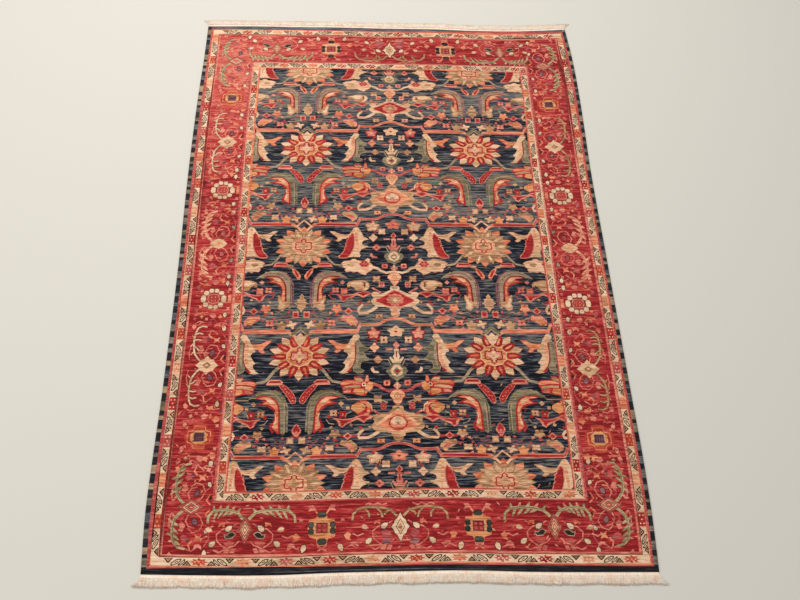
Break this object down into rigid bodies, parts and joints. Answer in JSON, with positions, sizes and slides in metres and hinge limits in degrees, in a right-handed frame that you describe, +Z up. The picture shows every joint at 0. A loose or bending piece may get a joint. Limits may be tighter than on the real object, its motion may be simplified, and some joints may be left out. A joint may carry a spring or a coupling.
{
  "type": "kilim",
  "caption": "Flat-woven rectangular wool kilim with a navy allover field, a red main border between cream guard stripes, and a short white warp fringe at both ends.",
  "frame": {"origin": "centre of the kilim's underside, on the floor it lies on", "axes": "+X across the width, +Y along the length from the near end to the far end, +Z up from the floor"},
  "size_m": [1.623, 2.466, 0.003],
  "materials": {
    "wool": "matte flat-woven wool, patterned in navy, slate, madder red, cream, tan, sage and coral",
    "cotton_fringe": "matte undyed cotton warp ends"
  },
  "bodies": {
    "root": {"weave": "wool", "fringe_near": "cotton_fringe", "fringe_far": "cotton_fringe"}
  },
  "joints": []
}
